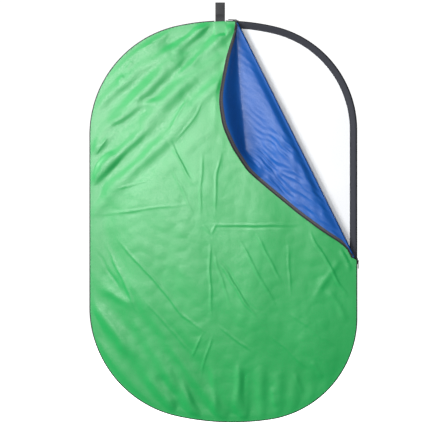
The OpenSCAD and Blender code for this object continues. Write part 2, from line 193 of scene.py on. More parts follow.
edge_pts = beside(np.linspace(FOLD_SIDE_S, FOLD_TOP_S, 1600), CLOTH_R, 0.0)[::-1]
EDGE_P = (edge_pts - FOLD_A) @ ALONG
EDGE_U = (edge_pts - FOLD_A) @ ACROSS


def smooth(x):
    x = np.clip(x, 0, 1)
    return x * x * (3 - 2 * x)


# How far past the fold's line the loose corner's outer edge lies, at places along it.
REACH_P = [0, 10, 107, 190, 221, 255, 329, 413, 508, 531, 620, 744, 843, 919, 975, 1000]
REACH_U = [0, 9, 102, 166, 188, 205, 228, 232, 221, 214, 177, 122, 72, 27, 10, 10]
MIN_FREE = 1.2


def fold_shift(p):
    """The roll's crest wanders in from the line between the fold's ends."""
    return -(2.0 + 4.0 * np.clip(p / FOLD_LEN, 0, 1))


def cut_cloth(p):
    """Cloth from the roll to the cover's edge, as it was cut."""
    return np.interp(p, EDGE_P, EDGE_U) - (math.pi - 1) * ROLL_R


def free_cloth(p):
    return np.maximum(np.interp(p, FREE_P, FREE_W), MIN_FREE)


def fold_point(p, u, h):
    p, u, h = np.broadcast_arrays(p, u, h)
    u = u + fold_shift(p)
    return (FOLD_A + p[..., None] * ALONG + u[..., None] * ACROSS
            + np.stack([0 * h, -FACE_Y - h, 0 * h], -1))


def flap_height(p, t):
    """Height of the loose corner's green side over the panel, t past the roll."""
    swell = np.sin(np.pi * p / FOLD_LEN)
    span = free_cloth(p)
    valley = np.minimum(VALLEY * p, 0.8 * span)
    rise = np.clip((t - valley) / np.maximum(span - valley, 1), 0, 1.05)
    bulge = swell * CREST_RISE * np.sin(np.minimum(np.pi / 2, np.pi / 2 * t / CREST_AT)) ** 2
    sink = swell * (2 * ROLL_R + CREST_RISE - REST_H) * smooth((t - CREST_AT) / SETTLE)
    lift = EDGE_LIFT * np.sin(np.minimum(np.pi, np.pi * p / LIFT_REACH)) * smooth(rise) ** 0.9
    return 2 * ROLL_R + bulge - sink + lift


def reach_of(p, span_table, past):
    """How far a section of the loose corner reaches, for cloth widths to try."""
    global FREE_P, FREE_W
    FREE_P, FREE_W = p, span_table
    t = (free_cloth(p) + past)[:, None] * np.linspace(0, 1, 161)[None, :]
    h = flap_height(p[:, None], t)
    return ROLL_R + np.sqrt(np.maximum(np.diff(t) ** 2 - np.diff(h) ** 2, 0)).sum(axis=1)


FREE_P = np.linspace(0, FOLD_LEN, 240)
FREE_W = cut_cloth(FREE_P)
wanted = np.interp(FREE_P, REACH_P, REACH_U) + fold_shift(FREE_P)
kernel = np.hanning(19) / np.hanning(19).sum()
wanted = np.convolve(np.pad(wanted, 9, mode="edge"), kernel, mode="valid")
for _ in range(14):
    FREE_W = FREE_W + 0.8 * (wanted - reach_of(FREE_P, FREE_W, TAPE_BARE + COIL_W))


# ---------------------------------------------------------------- cloth relief

rng = np.random.default_rng(41)


def wave_field(lo, hi, count, heading=None, spread=math.pi):
    """A smooth random field: count plane waves of wavelengths lo to hi."""
    length = rng.uniform(lo, hi, count)
    way = rng.uniform(-spread, spread, count) + (0 if heading is None else heading)
    phase = rng.uniform(0, 2 * math.pi, count)
    kx = 2 * math.pi * np.cos(way) / length
    kz = 2 * math.pi * np.sin(way) / length

    def field(x, z):
        total = np.zeros(np.broadcast(x, z).shape)
        for a, b, c in zip(kx, kz, phase):
            total += np.cos(a * x + b * z + c)
        return total * math.sqrt(2 / count)
    return field


warp_x, warp_z = wave_field(70, 190, 9), wave_field(70, 190, 9)
slack = wave_field(150, 420, 10)
ripple = wave_field(38, 90, 16)
crumple_a, crumple_b = wave_field(45, 120, 10), wave_field(45, 120, 10)
wave_field(60, 200, 8)    # unused, but the draws after it depend on its own
upper_pulls = wave_field(52, 110, 8, heading=math.radians(133), spread=0.15)
lower_pulls = wave_field(60, 125, 8, heading=math.radians(38), spread=0.16)
foot_pulls = wave_field(55, 105, 8, heading=math.radians(4), spread=0.12)


def corner_pulls(x, z):
    """Long soft folds that the sprung hoop draws across the corners."""
    upper = smooth((0.707 * (z - x) - 230) / 230)
    lower = smooth((-0.707 * (z + x) - 330) / 230)
    foot = smooth((-z - 500) / 150) * smooth((x + 260) / 120)
    return (1.5 * upper * upper_pulls(x, z) + 1.1 * lower * lower_pulls(x, z)
            + 0.9 * foot * foot_pulls(x, z))


def crumpled(x, z):
    """Faint facets with sharp ridges, as cloth that has been packed away has."""
    return np.abs(crumple_a(x, z)) + 0.7 * np.abs(crumple_b(z, x)) - 1.3


def path_distance(x, z, points):
    """Distance to a path, and the share of the way along it."""
    best = np.full(x.shape, 1e9)
    side = np.zeros(x.shape)
    share = np.zeros(x.shape)
    pts = np.array(points, float)
    parts = np.linalg.norm(np.diff(pts, axis=0), axis=1)
    done = np.concatenate([[0], np.cumsum(parts)]) / parts.sum()
    for i in range(len(pts) - 1):
        a, d = pts[i], pts[i + 1] - pts[i]
        t = np.clip(((x - a[0]) * d[0] + (z - a[1]) * d[1]) / (d @ d), 0, 1)
        ox, oz = x - a[0] - t * d[0], z - a[1] - t * d[1]
        dist = np.hypot(ox, oz)
        near = dist < best
        best = np.where(near, dist, best)
        side = np.where(near, np.sign(ox * d[1] - oz * d[0]) * dist, side)
        share = np.where(near, done[i] + t * (done[i + 1] - done[i]), share)
    return best, side, share


# Ridges and creases of the green panel: half width, height, path.
PULLS = [
    (11, 4.0, [(-442, 351), (-316, 430), (-208, 462)]),
    (10, 3.2, [(-432, 267), (-320, 369)]),
    (10, 3.0, [(-479, 192), (-404, 267)]),
    (12, 4.5, [(-316, 556), (-246, 612), (-162, 677), (-115, 705)]),
    (10, 3.8, [(-208, 560), (-143, 616), (-59, 677)]),
    (9, 3.0, [(-199, 528), (-124, 584), (-68, 649)]),
    (10, -2.6, [(-479, 290), (-376, 379)]),
    (10, -2.4, [(-479, 136), (-358, 248)]),
    (6, 1.8, [(-372, 560), (-340, 600)]),
    (6, 1.8, [(-400, 520), (-372, 548)]),
    (12, 3.4, [(-470, -228), (-311, -330)]),
    (13, 4.2, [(-479, -302), (-414, -396), (-339, -517)]),
    (13, 4.2, [(-302, -554), (-171, -713)]),
    (10, -2.6, [(-246, -564), (-171, -666)]),
    (10, 3.0, [(-180, -517), (-96, -731)]),
    (9, 2.6, [(-40, -536), (-26, -731)]),
    (9, 3.8, [(62, -508), (48, -731)]),
    (8, -2.4, [(84, -540), (76, -725)]),
    (7, 2.2, [(180, -610), (196, -700)]),
    (7, 2.0, [(262, -560), (300, -650)]),
    (6, 1.8, [(330, -520), (372, -584)]),
    (9, 2.4, [(333, -284), (435, -134)]),
    (9, 2.6, [(379, -237), (473, -377)]),
    (7, 2.2, [(435, -97), (482, -190)]),
]
CREASES = [
    (3.6, 1.0, [(-208, 327), (-120, 486)]),
    (3.4, 1.1, [(-208, 313), (-110, 127)]),
    (3.2, -0.8, [(-198, 317), (-100, 131)]),
    (3.4, 0.9, [(-208, 229), (-106, 15)]),
    (3.4, 0.8, [(-185, 295), (-110, 388), (-68, 462)]),
    (3.6, 1.0, [(-78, 276), (-87, 5)]),
    (3.6, 1.0, [(-3, 276), (-26, 183), (-31, 5)]),
    (4.5, 0.7, [(-414, 117), (-264, 155)]),
    (4.5, 0.7, [(-479, 24), (-106, 71)]),
    (4.2, 1.4, [(-414, -46), (-246, -228), (-152, -349), (-50, -424)]),
    (4.4, 1.1, [(-451, -51), (-367, -237), (-311, -358)]),
    (4.6, -1.1, [(-479, -97), (-376, -265)]),
    (4.2, 0.8, [(-311, -274), (-87, -526)]),
    (3.6, 1.2, [(-50, -51), (-45, -377)]),
    (3.4, 0.9, [(-50, -51), (-84, -12)]),
    (3.4, 0.9, [(-50, -51), (-26, -8)]),
    (3.4, 1.1, [(-40, -97), (25, -321)]),
    (3.6, 1.1, [(-78, -414), (-124, -517)]),
    (3.6, 1.1, [(-40, -414), (-87, -592)]),
    (3.0, 0.9, [(-87, -13), (314, -13)]),
    (3.0, -0.6, [(-80, -24), (300, -23)]),
    (3.6, 1.5, [(-31, -125), (60, -270), (137, -377)]),
    (3.4, -0.9, [(-20, -121), (70, -266), (147, -372)]),
    (3.8, 1.2, [(-31, -377), (109, -489)]),
    (4.0, 1.9, [(314, -23), (435, -237), (473, -293)]),
    (3.8, 1.2, [(113, -23), (221, -237)]),
    (3.8, 1.2, [(43, -41), (202, -330)]),
    (3.6, 0.9, [(239, -69), (253, -284)]),
    (4.0, 0.8, [(150, -400), (330, -560)]),
    (4.0, 0.8, [(230, -330), (420, -470)]),
    (4.5, -1.6, [(442, -92), (481, -162)]),
    (4.0, 1.4, [(458, -95), (486, -138)]),
    (3.6, 1.0, [(-478, 236), (-430, 330)]),
    (3.4, 1.0, [(-300, 640), (-262, 668)]),
]


def tree_of(points):
    tree = KDTree(len(points))
    for i, q in enumerate(points):
        tree.insert(q, i)
    tree.balance()
    return tree


def rim_distance(x, z):
    hem = beside(np.linspace(0, PERIMETER, 1500, endpoint=False), HEM_R, 0.0)
    tree = tree_of([(q[0], q[2], 0.0) for q in hem])
    return np.array([tree.find((a, b, 0.0))[2] for a, b in zip(x, z)])


def lines_relief(x, z, lines, gain=1.0, spread_by=1.0):
    x1, z1 = x + 1.6 * warp_x(x, z), z + 1.6 * warp_z(x, z)
    total = np.zeros(x.shape)
    for width, height, points in lines:
        width = width * spread_by
        dist, side, share = path_distance(x1, z1, points)
        ends = smooth(share / 0.3) * smooth((1 - share) / 0.3)
        lean = 1 + 0.35 * np.tanh(side / width)
        total += gain * height * ends * lean * np.exp(-(dist / width) ** 2)
    return total


def kept_clear(x, z, edge, raised):
    """Holds the cloth clear of the rim ribbon and of the strap's sewn legs."""
    deepest = 0.15 + 3.2 * smooth((edge - 14) / 50)
    over_strap = (smooth((26 - np.abs(x + 12)) / 8) * smooth((z - 690) / 14))
    raised = np.where(raised < 0, deepest * np.tanh(raised / deepest), 8 * np.tanh(raised / 8))
    return raised * (1 - over_strap) + 0.45 * over_strap * smooth(edge / 8)


def front_relief(x, z, edge):
    """How far the green front stands out, at a distance edge from its border."""
    p = (x - FOLD_A[0]) * ALONG[0] + (z - FOLD_A[2]) * ALONG[2]
    u = (x - FOLD_A[0]) * ACROSS[0] + (z - FOLD_A[2]) * ACROSS[2] - fold_shift(p)
    loose = (lines_relief(x, z, PULLS, 0.62, 1.45) + corner_pulls(x, z)) * smooth(edge / 26)
    sharp = lines_relief(x, z, CREASES, 1.1) * smooth(edge / 16)
    soft = (1.1 * slack(x, z) + 0.10 * ripple(x, z) + 0.16 * crumpled(x, z)) * smooth(edge / 70)
    raised = loose + sharp + soft
    under = smooth((np.minimum(p, FOLD_LEN - p) + 5) / 30) * smooth(
        (free_cloth(np.clip(p, 0, FOLD_LEN)) + 22 + u) / 26)
    raised = raised * (1 - 0.9 * under)
    fold_fade = smooth((-u - ROLL_R) / 30)
    beside_fold = (p > -5) & (p < FOLD_LEN + 5)
    raised = np.where(beside_fold, raised * fold_fade, raised)
    return kept_clear(x, z, edge, raised)


# ---------------------------------------------------------------- mesh helpers


def to_row(points):
    return ORIGIN + np.asarray(points, float) / 1000.0


def build(name, points, faces, material, sharp=40, in_row=False):
    """A piece from points in millimetres and lists or arrays of faces."""
    mesh = bpy.data.meshes.new(name)
    listed = []
    for group in faces:
        listed += np.asarray(group).tolist() if not isinstance(group, list) else group
    coords = np.asarray(points, float) / 1000 if in_row else to_row(points)
    mesh.from_pydata(coords.tolist(), [], listed)
    mesh.polygons.foreach_set("use_smooth", [True] * len(mesh.polygons))
    mesh.set_sharp_from_angle(angle=math.radians(sharp))
    mesh.materials.append(material)
    piece = bpy.data.objects.new(name, mesh)
    SCENE.collection.objects.link(piece)
    return piece


def grid_faces(rows, cols, close_rows=False, close_cols=False):
    i = np.arange(rows if close_rows else rows - 1)
    j = np.arange(cols if close_cols else cols - 1)
    a, b = np.meshgrid(i, j, indexing="ij")
    a, b = a.ravel(), b.ravel()
    a2, b2 = (a + 1) % rows, (b + 1) % cols
    return np.stack([a * cols + b, a * cols + b2, a2 * cols + b2, a2 * cols + b], -1)


def closed_sheet(points, faces, offset):
    """Both faces of a cloth and its cut edges. offset leads to the other face."""
    n = len(points)
    a = faces.ravel()
    b = np.roll(faces, -1, axis=1).ravel()
    here, there = a * n + b, b * n + a
    rim = ~np.isin(here, there)
    sides = np.stack([b[rim], a[rim], a[rim] + n, b[rim] + n], -1)
    return np.vstack([points, points + offset]), [faces, faces[:, ::-1] + n, sides]


def unit(vectors):
    return vectors / np.linalg.norm(vectors, axis=-1, keepdims=True)


def tube_faces(rows, cols):
    """A grid closed across its columns, with a cap at both ends."""
    caps = [list(range(cols))[::-1], [(rows - 1) * cols + j for j in range(cols)]]
    return [grid_faces(rows, cols, close_cols=True), caps]


def grid_normals(grid):
    """Unit normals of a grid of points [rows, cols, 3]: rows x cols."""
    du = np.gradient(grid, axis=0)
    dv = np.gradient(grid, axis=1)
    n = np.cross(du, dv)
    return n / np.maximum(np.linalg.norm(n, axis=-1, keepdims=True), 1e-9)


def sweep(name, s, profile, material, loop=False, swell=None, sharp=35):
    """A closed bar whose section is profile, carried round the rim at stations s."""
    prof = np.array(profile, float)
    if swell is None:
        pts = beside(s[:, None], prof[None, :, 0], prof[None, :, 1])
    else:
        mid = prof.mean(axis=0)
        r = mid[0] + (prof[None, :, 0] - mid[0]) * swell[:, None]
        y = mid[1] + (prof[None, :, 1] - mid[1]) * swell[:, None]
        pts = beside(s[:, None], r, y)
    rows, cols = pts.shape[:2]
    faces = [grid_faces(rows, cols, True, True)] if loop else tube_faces(rows, cols)
    return build(name, pts.reshape(-1, 3), faces, material, sharp=sharp)


def ring(cx, cy, rx, ry, n, power=1.0):
    """A rounded section, wound the way sweep needs."""
    a = np.arange(n) * 2 * math.pi / n
    c, s = np.cos(a), np.sin(a)
    return np.stack([cx + rx * np.sign(c) * np.abs(c) ** power,
                     cy + ry * np.sign(s) * np.abs(s) ** power], -1)


def stations(s0, s1, pitch):
    return np.linspace(s0, s1, max(2, int(round((s1 - s0) / pitch)) + 1))


def thread_row(points, ways, outs, length, width, height):
    """Stitches: a low six sided bead at each point, along ways, raised on outs."""
    n = len(points)
    side = np.cross(outs, ways)
    verts = []
    steps = [(-0.5, 0.25), (-0.28, 1.0), (0.28, 1.0), (0.5, 0.25)]
    for along_share, fat in steps:
        for k in range(6):
            a = math.pi * k / 3
            verts.append(points + ways * length * along_share
                         + side * (width / 2 * fat * math.cos(a))
                         + outs * (height * fat * math.sin(a)))
    verts = np.stack(verts, 1)
    m = len(steps) * 6
    base = grid_faces(len(steps), 6, close_cols=True)
    quads = (base[None] + (np.arange(n) * m)[:, None, None]).reshape(-1, 4)
    first = np.arange(6)[::-1]
    last = np.arange(6) + (len(steps) - 1) * 6
    caps = np.concatenate([(first[None] + (np.arange(n) * m)[:, None]),
                           (last[None] + (np.arange(n) * m)[:, None])])
    return verts.reshape(-1, 3), [quads, caps]


def rim_stitches(name, s0, s1, r, y, pitch, material, face=-1, length=2.6):
    s = stations(s0, s1, pitch)
    pts = beside(s, r, y)
    ahead = beside(s + 0.5, r, y) - beside(s - 0.5, r, y)
    ways = unit(ahead)
    outs = np.tile([0.0, face, 0.0], (len(s), 1))
    v, f = thread_row(pts, ways, outs, length, 0.55, 0.28)
    return build(name, v, f, material, sharp=70)


# ---------------------------------------------------------------- materials


def new_material(name):
    m = bpy.data.materials.new(name)
    m.use_nodes = True
    tree = m.node_tree
    return m, tree, tree.nodes["Principled BSDF"]


def place(tree):
    return tree.nodes.new("ShaderNodeTexCoord").outputs["Object"]


def noise(tree, where, scale, detail=3.0, rough=0.5):
    n = tree.nodes.new("ShaderNodeTexNoise")
    n.inputs["Scale"].default_value = scale
    n.inputs["Detail"].default_value = detail
    n.inputs["Roughness"].default_value = rough
    tree.links.new(where, n.inputs["Vector"])
    return n.outputs["Fac"]


def mix_colour(tree, factor, a, b):
    m = tree.nodes.new("ShaderNodeMix")
    m.data_type = "RGBA"
    for socket, value in ((6, a), (7, b)):
        if isinstance(value, tuple):
            m.inputs[socket].default_value = (*value, 1)
        else:
            tree.links.new(value, m.inputs[socket])
    tree.links.new(factor, m.inputs[0])
    return m.outputs[2]


def spread(tree, source, lo, hi, out_lo=0.0, out_hi=1.0):
    m = tree.nodes.new("ShaderNodeMapRange")
    m.inputs["From Min"].default_value = lo
    m.inputs["From Max"].default_value = hi
    m.inputs["To Min"].default_value = out_lo
    m.inputs["To Max"].default_value = out_hi
    tree.links.new(source, m.inputs["Value"])
    return m.outputs["Result"]


def wave(tree, where, scale, axis, distort=0.4):
    w = tree.nodes.new("ShaderNodeTexWave")
    w.bands_direction = axis
    w.inputs["Scale"].default_value = scale
    w.inputs["Distortion"].default_value = distort
    w.inputs["Detail"].default_value = 1.0
    tree.links.new(where, w.inputs["Vector"])
    return w.outputs["Fac"]


def product(tree, a, b):
    m = tree.nodes.new("ShaderNodeMath")
    m.operation = "MULTIPLY"
    tree.links.new(a, m.inputs[0])
    tree.links.new(b, m.inputs[1])
    return m.outputs[0]


def bump(tree, shader, height, strength, distance, previous=None):
    b = tree.nodes.new("ShaderNodeBump")
    b.inputs["Strength"].default_value = strength
    b.inputs["Distance"].default_value = distance
    tree.links.new(height, b.inputs["Height"])
    if previous is not None:
        tree.links.new(previous, b.inputs["Normal"])
    tree.links.new(b.outputs["Normal"], shader.inputs["Normal"])
    return b.outputs["Normal"]


def cloth(name, colour, deep, rough=0.5, threads=1500.0, sheen=0.3, sheen_tint=(1, 1, 1),
          specular=0.5, weave=0.25, crinkle=0.35):
    """Closely woven cloth: threads both ways, fine crinkles, uneven dye."""
    m, tree, shader = new_material(name)
    plain = place(tree)
    shade = noise(tree, plain, 5.0, 4.0)
    fine = noise(tree, plain, 260.0, 2.0)
    fac = spread(tree, shade, 0.3, 0.7)
    body = mix_colour(tree, fac, deep, colour)
    weft = wave(tree, plain, threads / 3.14, "X")
    warp = wave(tree, plain, threads / 3.14, "Z")
    woven = product(tree, weft, warp)
    dark = tuple(c * 0.8 for c in deep)
    flecked = mix_colour(tree, spread(tree, fine, 0.25, 0.75, 0.0, 0.35), body, dark)
    tree.links.new(flecked, shader.inputs["Base Color"])
    rough_var = spread(tree, fine, 0.3, 0.7, rough - 0.05, rough + 0.06)
    tree.links.new(rough_var, shader.inputs["Roughness"])
    shader.inputs["Specular IOR Level"].default_value = specular
    shader.inputs["Sheen Weight"].default_value = sheen
    shader.inputs["Sheen Roughness"].default_value = 0.4
    shader.inputs["Sheen Tint"].default_value = (*sheen_tint, 1)
    folds = noise(tree, plain, 42.0, 5.0, 0.62)
    first = bump(tree, shader, folds, crinkle, 0.004)
    bump(tree, shader, woven, weave, 0.00004, first)
    return m


def webbing(name, colour, pale, pitch, rough=0.75):
    """Coarse ribbed weave in black."""
    m, tree, shader = new_material(name)
    plain = place(tree)
    ribs = wave(tree, plain, 3.14 / pitch / 3.14, "Z", 0.2)
    cross = wave(tree, plain, 2.2 / pitch / 3.14, "X", 0.2)
    woven = product(tree, ribs, cross)
    fluff = noise(tree, plain, 900.0, 3.0)
    tone = mix_colour(tree, spread(tree, woven, 0.1, 0.8), colour, pale)
    tone = mix_colour(tree, spread(tree, fluff, 0.45, 0.8, 0.0, 0.5), tone, pale)
    tree.links.new(tone, shader.inputs["Base Color"])
    tree.links.new(spread(tree, fluff, 0.3, 0.7, rough - 0.08, rough + 0.1),
                   shader.inputs["Roughness"])
    shader.inputs["Sheen Weight"].default_value = 0.10
    shader.inputs["Sheen Roughness"].default_value = 0.5
    bump(tree, shader, woven, 0.5, pitch * 0.12)
    return m


def hard(name, colour, worn, rough, metallic=0.0, grain=400.0, bump_by=0.15, wear=(0.55, 0.75)):
    """Metal or plastic with fine grain and worn patches."""
    m, tree, shader = new_material(name)
    plain = place(tree)
    specks = noise(tree, plain, grain, 4.0)
    broad = noise(tree, plain, 60.0, 5.0, 0.65)
    tone = mix_colour(tree, spread(tree, broad, wear[0], wear[1]), colour, worn)
    dark = tuple(c * 0.7 for c in colour)
    tone = mix_colour(tree, spread(tree, specks, 0.55, 0.8, 0.0, 0.4), tone, dark)
    tree.links.new(tone, shader.inputs["Base Color"])
    tree.links.new(spread(tree, broad, 0.3, 0.7, rough - 0.07, rough + 0.1),
                   shader.inputs["Roughness"])
    shader.inputs["Metallic"].default_value = metallic
    bump(tree, shader, specks, bump_by, 0.0002)
    return m


GREEN = cloth("green_taffeta", (0.006, 0.405, 0.088), (0.004, 0.37, 0.076), rough=0.40,
              sheen=0.06, sheen_tint=(0.85, 1, 0.88), specular=1.0, crinkle=0.10)
BLUE = cloth("blue_taffeta", (0.003, 0.115, 0.47), (0.002, 0.090, 0.40), rough=0.42,
             sheen=0.10, sheen_tint=(0.7, 0.85, 1), specular=0.6, crinkle=0.16)
WHITE = cloth("white_diffuser", (0.93, 0.94, 0.955), (0.90, 0.915, 0.94), rough=0.6,
              sheen=0.1, specular=0.3, crinkle=0.06, weave=0.15)
RIBBON = webbing("slate_ribbon", (0.016, 0.018, 0.027), (0.030, 0.033, 0.046), 0.0012)
TAPE = webbing("zip_tape_cloth", (0.012, 0.012, 0.015), (0.03, 0.03, 0.036), 0.0010)
# The loose corner's zip tape is drawn grey, paler than the black tape round the rim.
FLAP_TAPE = webbing("grey_corner_zip_tape", (0.045, 0.042, 0.046), (0.115, 0.105, 0.11), 0.0012)
STRAP = webbing("black_webbing", (0.012, 0.012, 0.014), (0.06, 0.06, 0.066), 0.0026, 0.62)
COIL = hard("nylon_coil", (0.012, 0.012, 0.014), (0.04, 0.04, 0.045), 0.38, grain=700)
THREAD_GREEN = cloth("green_thread", (0.07, 0.48, 0.19), (0.05, 0.42, 0.16), rough=0.5, threads=2600)
THREAD_DARK = cloth("dark_thread", (0.03, 0.03, 0.036), (0.02, 0.02, 0.024), rough=0.5, threads=2600)
STEEL = hard("spring_steel", (0.42, 0.43, 0.45), (0.30, 0.29, 0.28), 0.3, 1.0, 300, 0.1)
CRIMP = hard("crimped_steel", (0.50, 0.51, 0.52), (0.36, 0.35, 0.34), 0.36, 1.0, 500, 0.2)
SLIDER = hard("painted_slider", (0.05, 0.052, 0.055), (0.30, 0.30, 0.31), 0.34, 0.6, 500, 0.15, (0.6, 0.72))
BRIDGE = hard("slider_bridge", (0.09, 0.09, 0.095), (0.36, 0.36, 0.37), 0.3, 0.8, 500, 0.15, (0.58, 0.7))
PULL = hard("pull_plastic", (0.018, 0.018, 0.02), (0.05, 0.05, 0.055), 0.42, 0.0, 600, 0.3)

# ---------------------------------------------------------------- cover panels

PITCH = 4.6
FOLD_PS = END_A + (FOLD_LEN - END_A - END_B) * np.linspace(0, 1, int(950 / PITCH) + 1)


def hex_points(pitch, reach_x, reach_z):
    rows = int(2 * reach_z / (pitch * 0.866)) + 2
    pts = []
    for j in range(rows):
        z = -reach_z + j * pitch * 0.866
        x = np.arange(-reach_x + (j % 2) * pitch / 2, reach_x, pitch)
        pts.append(np.stack([x, np.full(x.shape, z)], -1))
    return np.vstack(pts)


def filled(border, pitch, keep):
    """Triangles over a flat shape, with even points inside its border."""
    inner = hex_points(pitch, HALF_W, HALF_H)
    inner = inner[keep(inner)]
    count = len(border)
    verts, _, faces, _, _, _ = delaunay_2d_cdt(
        [Vector(q) for q in np.vstack([border, inner])], [], [list(range(count))], 1, 1e-5)
    return np.array([v[:] for v in verts]), np.array(faces)


def inside_rim(points, gap):
    """Which points lie more than gap inside the cover's edge."""
    s = np.linspace(0, PERIMETER, 1800, endpoint=False)
    ring_pts = beside(s, HEM_R, 0.0)
    angle = np.unwrap(np.arctan2(ring_pts[:, 2], ring_pts[:, 0]))
    radius = np.hypot(ring_pts[:, 0], ring_pts[:, 2])
    order = np.argsort(np.mod(angle, 2 * math.pi))
    a = np.mod(angle, 2 * math.pi)[order]
    here = np.mod(np.arctan2(points[:, 1], points[:, 0]), 2 * math.pi)
    reach = np.interp(here, a, radius[order], period=2 * math.pi)
    return np.hypot(points[:, 0], points[:, 1]) < reach - gap * 1.25


def front_border(pitch):
    s = stations(FOLD_TOP_S, FOLD_SIDE_S + PERIMETER, pitch)
    edge = beside(s, HEM_R, 0.0)
    fold = fold_point(FOLD_PS[::-1], -ROLL_R, 0.0)
    return np.vstack([edge[:, [0, 2]], fold[:, [0, 2]]])


def front_keep(pitch):
    def keep(q):
        d = np.stack([q[:, 0] - FOLD_A[0], 0 * q[:, 0], q[:, 1] - FOLD_A[2]], -1)
        p, u = d @ ALONG, d @ ACROSS
        return inside_rim(q, pitch * 0.6) & (u < fold_shift(p) - ROLL_R - pitch * 0.6)
    return keep


def lay(name, flat, faces, y, material, thick, sign):
    """A cloth over flat points, its outer face at y and towards sign."""
    pts = np.stack([flat[:, 0], y, flat[:, 1]], -1)
    a, b, c = (flat[faces[:, k]] for k in range(3))
    area = (b[:, 0] - a[:, 0]) * (c[:, 1] - a[:, 1]) - (b[:, 1] - a[:, 1]) * (c[:, 0] - a[:, 0])
    facing = np.where(area > 0, -1, 1)
    faces = np.where((facing == sign)[:, None], faces, faces[:, ::-1])
    v, f = closed_sheet(pts, faces, np.array([0.0, -sign * thick, 0.0]))
    return build(name, v, f, material)


def cover(name, border, pitch, keep, relief, depth, material, sign):
    """One cloth of the cover, at a depth worked out from its relief and its edge."""
    flat, faces = filled(border, pitch, keep)
    edge = rim_distance(flat[:, 0], flat[:, 1])
    out = relief(flat[:, 0], flat[:, 1], edge)
    return lay(name, flat, faces, sign * depth(out, edge), material, CLOTH_T, sign)


def face_depth(out, edge):
    return FACE_Y + out


def lining_depth(out, edge):
    """A lining follows its panel, but sinks away from the rim."""
    sunk = LINING_Y + CLOTH_T + out - 0.15 - 2.4 * smooth((edge - 5) / 26)
    return np.maximum(sunk, 0.8)


front_panel = cover("front_panel_cloth", front_border(PITCH), PITCH, front_keep(PITCH),
                    front_relief, face_depth, GREEN, -1)

COARSE = PITCH * 2.4
front_lining = cover("front_lining_cloth", front_border(COARSE), COARSE, front_keep(COARSE),
                     front_relief, lining_depth, BLUE, -1)

back_slack, back_ripple = wave_field(140, 420, 12), wave_field(40, 110, 14)
back_pulls = []
for share in np.linspace(0.02, 0.98, 26):
    spot = beside(share * PERIMETER + rng.uniform(-30, 30), rng.uniform(-60, -26), 0.0)
    inner = beside(share * PERIMETER + rng.uniform(-60, 60), rng.uniform(-240, -130), 0.0)
    back_pulls.append((rng.uniform(8, 13), rng.uniform(1.4, 3.4) * rng.choice([1, 1, -0.6]),
                       [(spot[0], spot[2]), (inner[0], inner[2])]))
back_creases = []
for k in range(22):
    a = np.array([rng.uniform(-330, 330), rng.uniform(-560, 560)])
    way = rng.uniform(0, math.pi)
    b = a + rng.uniform(120, 320) * np.array([math.cos(way), math.sin(way)])
    back_creases.append((3.8, rng.uniform(0.7, 1.3) * rng.choice([1, -1]), [tuple(a), tuple(b)]))


def back_relief(x, z, edge):
    raised = ((1.2 * back_slack(x, z) + 0.12 * back_ripple(x, z) + 0.16 * crumpled(x + 90, z - 40))
              * smooth(edge / 70) + lines_relief(x, z, back_pulls) * smooth(edge / 24)
              + lines_relief(x, z, back_creases) * smooth(edge / 18))
    return kept_clear(x, z, edge, raised)


BACK_PITCH = PITCH * 1.3
back_ring = beside(stations(0, PERIMETER, BACK_PITCH)[:-1], HEM_R, 0.0)[:, [0, 2]]
back_panel = cover("back_panel_cloth", back_ring, BACK_PITCH,
                   lambda q: inside_rim(q, BACK_PITCH * 0.6), back_relief, face_depth, GREEN, 1)

ring_wide = beside(stations(0, PERIMETER, COARSE)[:-1], HEM_R - 0.6, 0.0)[:, [0, 2]]
back_lining = cover("back_lining_cloth", ring_wide, COARSE,
                    lambda q: inside_rim(q, COARSE * 0.6), back_relief, lining_depth, BLUE, 1)

# ---------------------------------------------------------------- roll of the fold

ROLL_ROWS = 44
roll_turn = np.radians(np.linspace(0, 180, ROLL_ROWS + 1))


def roll_layer(name, inner, outer, material, faces_out):
    grids = []
    for out in (inner, outer):
        u = (ROLL_R + out) * np.sin(roll_turn) - ROLL_R
        h = ROLL_R - (ROLL_R + out) * np.cos(roll_turn)
        grids.append(fold_point(FOLD_PS[:, None], u[None, :], h[None, :]))
    rows, cols = grids[0].shape[:2]
    quads = grid_faces(rows, cols)
    n = rows * cols
    shown, other = (grids[1], grids[0]) if faces_out else (grids[0], grids[1])
    v = np.vstack([shown.reshape(-1, 3), other.reshape(-1, 3)])
    first = quads if faces_out else quads[:, ::-1]
    _, f = closed_sheet(shown.reshape(-1, 3), first, 0.0)
    return build(name, v, f, material)


fold_green = roll_layer("panel_fold_cloth", 0.0, CLOTH_T, GREEN, False)
fold_blue = roll_layer("lining_fold_cloth", CLOTH_T, 2 * CLOTH_T, BLUE, True)

# ---------------------------------------------------------------- loose corner

streak_a = wave_field(26, 60, 16, heading=math.radians(62), spread=0.35)
streak_b = wave_field(30, 80, 12, heading=math.radians(80), spread=0.6)


def flap_crumple(p, t):
    span = np.maximum(free_cloth(p), 1)
    inside = smooth(t / 26) * smooth((span - t) / 26)
    low = 0.25 + 0.75 * smooth((p - 330) / 220)
    ridges = 1.0 - np.abs(streak_a(p, t))
    return inside * low * (1.15 * ridges + 0.5 * streak_b(p, t)) * 0.9


def flap_grid(p, shares):
    """Points of the loose corner's green side, at shares of the free cloth."""
    p = np.asarray(p, float)
    span = free_cloth(p)[:, None]
    t = span * np.asarray(shares, float)[None, :]
    fine = np.hstack([np.zeros((len(p), 1)), t])
    h = flap_height(p[:, None], fine)
    du = np.sqrt(np.maximum(np.diff(fine, axis=1) ** 2 - np.diff(h, axis=1) ** 2, 0))
    u = -ROLL_R - np.cumsum(du, axis=1)
    h = h[:, 1:] + flap_crumple(p[:, None], t)
    return fold_point(p[:, None], u, h)


